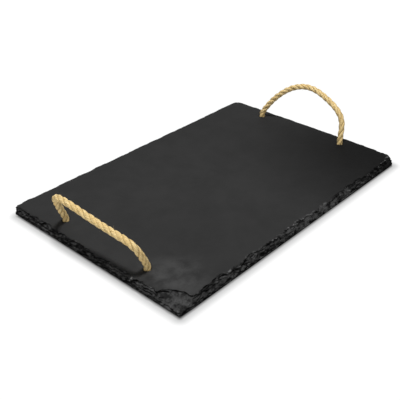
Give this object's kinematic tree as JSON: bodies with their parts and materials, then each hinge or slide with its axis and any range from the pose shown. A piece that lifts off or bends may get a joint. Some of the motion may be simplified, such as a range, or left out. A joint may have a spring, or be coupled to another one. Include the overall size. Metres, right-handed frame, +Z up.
{
  "type": "serving board",
  "caption": "Rectangular slate serving board with chipped edges, a twisted rope handle at each end and rubber feet.",
  "frame": {"origin": "middle of the board's length and width, on the surface that its feet stand on", "axes": "+X along the board from its near end to its far end, +Y towards its left side, +Z up"},
  "size_m": [0.3019, 0.2, 0.0566],
  "materials": {
    "slate": "matt, cleft natural slate",
    "rope": "twisted natural fibre",
    "foot": "matt"
  },
  "bodies": {
    "board": {"slate": "slate", "near_left_knot": "rope", "near_right_knot": "rope", "far_left_knot": "rope", "far_right_knot": "rope", "near_left_foot": "foot", "near_right_foot": "foot", "far_left_foot": "foot", "far_right_foot": "foot"},
    "near_handle": {"near_rope_handle": "rope"},
    "far_handle": {"far_rope_handle": "rope"}
  },
  "joints": [
    {"name": "near_handle_swing", "type": "hinge", "parent": "board", "child": "near_handle", "pos_m": [-0.1325, 0, 0.0133], "axis": [0, 1, 0], "range_deg": [-54, 106]},
    {"name": "far_handle_swing", "type": "hinge", "parent": "board", "child": "far_handle", "pos_m": [0.1375, 0.005, 0.0133], "axis": [0, -1, 0], "range_deg": [-67, 93]}
  ]
}
